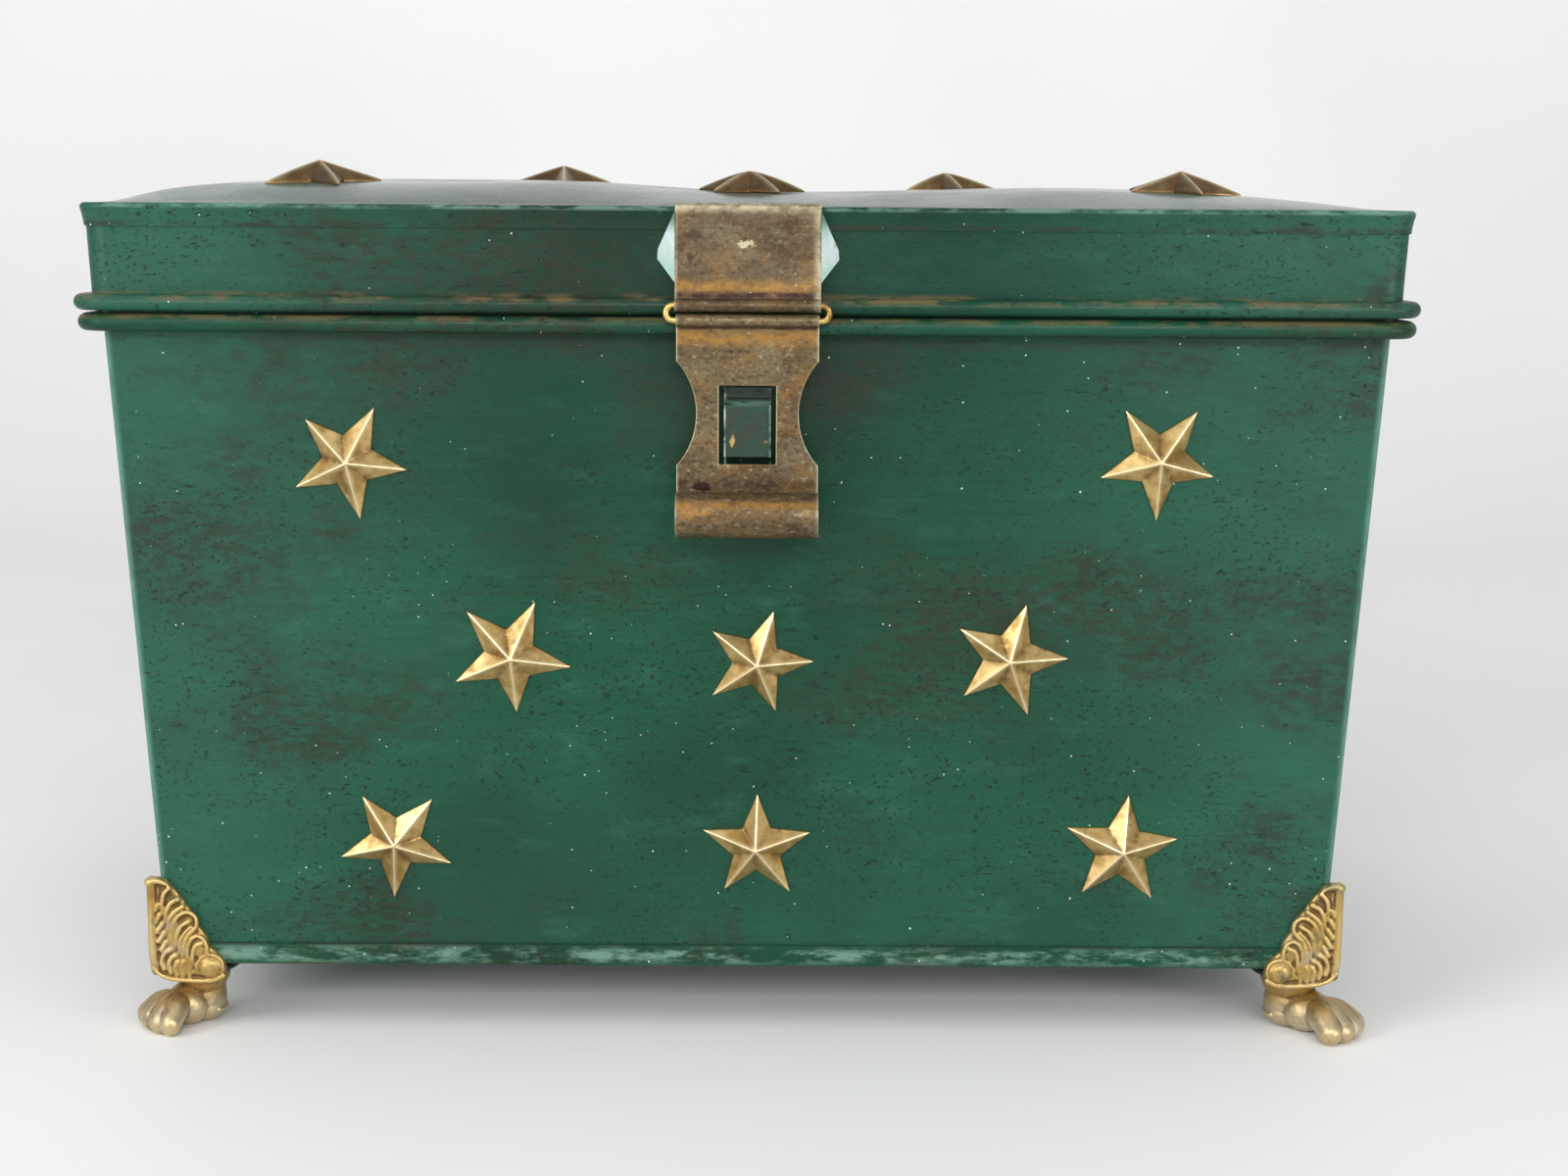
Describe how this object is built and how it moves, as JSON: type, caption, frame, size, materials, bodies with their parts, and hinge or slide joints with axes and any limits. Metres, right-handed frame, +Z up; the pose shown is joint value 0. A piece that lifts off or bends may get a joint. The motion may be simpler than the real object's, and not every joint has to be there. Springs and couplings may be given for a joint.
{
  "type": "painted tin box",
  "caption": "Tapered painted tin box with a hinged lid, slotted hasp and staple, stamped brass stars and gilded paw feet, for papers and keepsakes.",
  "frame": {"origin": "on the floor under the middle of the whole part's bounding box, hasp and hinges included", "axes": "+Z up, +X to the right along the width, front of the box with its hasp towards -Y"},
  "size_m": [0.4, 0.2708, 0.2712],
  "materials": {
    "green_paint": "satin dark green paint on tin, rubbed at edges and antiqued with brown specks",
    "rim_wire": "plain drawn wire hidden in the rolled edges",
    "gilt_casting": "worn gilding with brown recesses",
    "star_brass": "satin old brass",
    "aged_brass": "brown aged brass with ochre blotches",
    "link_brass": "rubbed brass wire",
    "solder": "pale tinned solder with a mint bloom"
  },
  "bodies": {
    "box": {"front_panel": "green_paint", "back_panel": "green_paint", "left_panel": "green_paint", "right_panel": "green_paint", "bottom_sheet": "green_paint", "bottom_hem": "green_paint", "rim_ledge_front": "green_paint", "rim_ledge_back": "green_paint", "rim_ledge_left": "green_paint", "rim_ledge_right": "green_paint", "hasp_staple": "green_paint", "body_rim_wire": "rim_wire", "front_left_foot": "gilt_casting", "front_right_foot": "gilt_casting", "back_left_foot": "gilt_casting", "back_right_foot": "gilt_casting", "front_star_1": "star_brass", "front_star_2": "star_brass", "front_star_3": "star_brass", "front_star_4": "star_brass", "front_star_5": "star_brass", "front_star_6": "star_brass", "front_star_7": "star_brass", "front_star_8": "star_brass", "left_hinge_body_leaf": "aged_brass", "left_hinge_pin": "aged_brass", "right_hinge_body_leaf": "aged_brass", "right_hinge_pin": "aged_brass"},
    "lid": {"lid_top": "green_paint", "lid_lip_front": "green_paint", "lid_lip_back": "green_paint", "lid_lip_left": "green_paint", "lid_lip_right": "green_paint", "lid_skirt_front": "green_paint", "lid_skirt_back": "green_paint", "lid_skirt_left": "green_paint", "lid_skirt_right": "green_paint", "lid_rim_wire": "rim_wire", "lid_star_1": "star_brass", "lid_star_2": "star_brass", "lid_star_3": "star_brass", "lid_star_4": "star_brass", "lid_star_5": "star_brass", "hasp_leaf": "aged_brass", "left_hinge_lid_leaf": "aged_brass", "right_hinge_lid_leaf": "aged_brass", "hasp_solder_left": "solder", "hasp_solder_right": "solder"},
    "link": {"hasp_link": "link_brass"},
    "flap": {"hasp_flap": "aged_brass"}
  },
  "joints": [
    {"name": "lid_hinge", "type": "hinge", "parent": "box", "child": "lid", "pos_m": [0, 0.13326, 0.22515], "axis": [-1, 0, 0], "range_deg": [0, 105]},
    {"name": "link_swing", "type": "hinge", "parent": "lid", "child": "link", "pos_m": [0, -0.12606, 0.2284], "axis": [-1, 0, 0], "range_deg": [0, 90]},
    {"name": "flap_swing", "type": "hinge", "parent": "link", "child": "flap", "pos_m": [0, -0.12606, 0.224], "axis": [-1, 0, 0], "range_deg": [-7, 95]}
  ]
}
